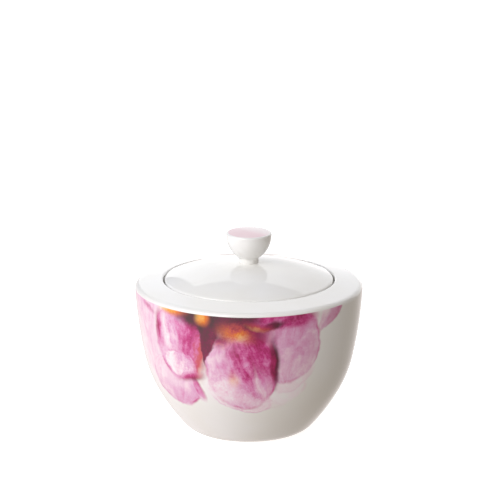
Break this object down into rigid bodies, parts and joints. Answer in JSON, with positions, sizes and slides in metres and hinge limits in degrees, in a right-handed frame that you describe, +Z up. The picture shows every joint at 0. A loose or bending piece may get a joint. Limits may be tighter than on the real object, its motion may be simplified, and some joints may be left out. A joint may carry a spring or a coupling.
{
  "type": "sugar bowl",
  "caption": "Round footed porcelain sugar bowl with an inturned shoulder, a loose domed lid set flush in it and a cup-shaped knob, with a watercolour flower on the wall",
  "frame": {"origin": "middle of the foot ring's resting face, at table level", "axes": "+Z up along the turning axis of bowl, lid and knob; -Y towards the viewer, with the middle of the flower facing -Y; +X to the viewer's right"},
  "size_m": [0.105, 0.105, 0.0935],
  "materials": {
    "floral_porcelain": "gloss",
    "white_porcelain": "gloss",
    "blush_porcelain": "gloss"
  },
  "bodies": {
    "bowl": {"bowl": "floral_porcelain"},
    "lid": {"lid": "white_porcelain", "knob": "blush_porcelain"}
  },
  "joints": [
    {"name": "lid_lift", "type": "slide", "parent": "bowl", "child": "lid", "axis": [0, 0, 1], "range_m": [0, 0.1]}
  ]
}
